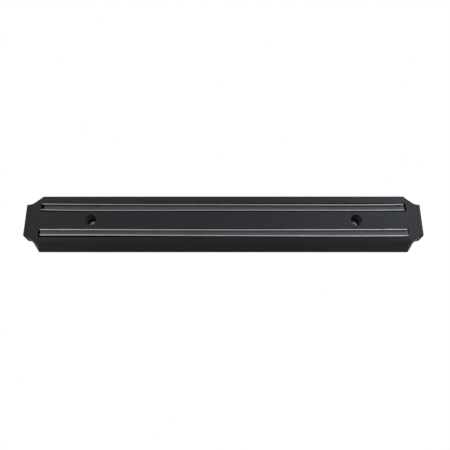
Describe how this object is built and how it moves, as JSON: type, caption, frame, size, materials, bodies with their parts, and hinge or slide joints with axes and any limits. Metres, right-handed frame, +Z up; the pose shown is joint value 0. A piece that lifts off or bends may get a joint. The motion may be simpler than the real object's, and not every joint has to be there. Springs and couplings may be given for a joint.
{
  "type": "magnetic knife rack",
  "caption": "Black plastic wall-mounted magnetic knife bar: shallow housing with scalloped corners, paired steel pole strips over ferrite magnets, counterbored screw holes.",
  "frame": {"origin": "centre of the back face, in the plane that lies against the wall", "axes": "+X along the rack, to the right as seen from the front; +Y into the wall, so the front faces -Y; +Z up"},
  "size_m": [0.33, 0.0135, 0.0484],
  "materials": {
    "housing_plastic": "satin",
    "cover_plastic": "matte",
    "strip_steel": "satin",
    "ferrite": "matte"
  },
  "bodies": {
    "root": {"front_housing": "housing_plastic", "rear_cover": "cover_plastic", "upper_pole_strip_top": "strip_steel", "upper_pole_strip_bottom": "strip_steel", "upper_magnet_1": "ferrite", "upper_magnet_2": "ferrite", "upper_magnet_3": "ferrite", "upper_magnet_4": "ferrite", "upper_magnet_5": "ferrite", "upper_magnet_6": "ferrite", "upper_magnet_7": "ferrite", "lower_pole_strip_top": "strip_steel", "lower_pole_strip_bottom": "strip_steel", "lower_magnet_1": "ferrite", "lower_magnet_2": "ferrite", "lower_magnet_3": "ferrite", "lower_magnet_4": "ferrite", "lower_magnet_5": "ferrite", "lower_magnet_6": "ferrite", "lower_magnet_7": "ferrite"}
  },
  "joints": []
}
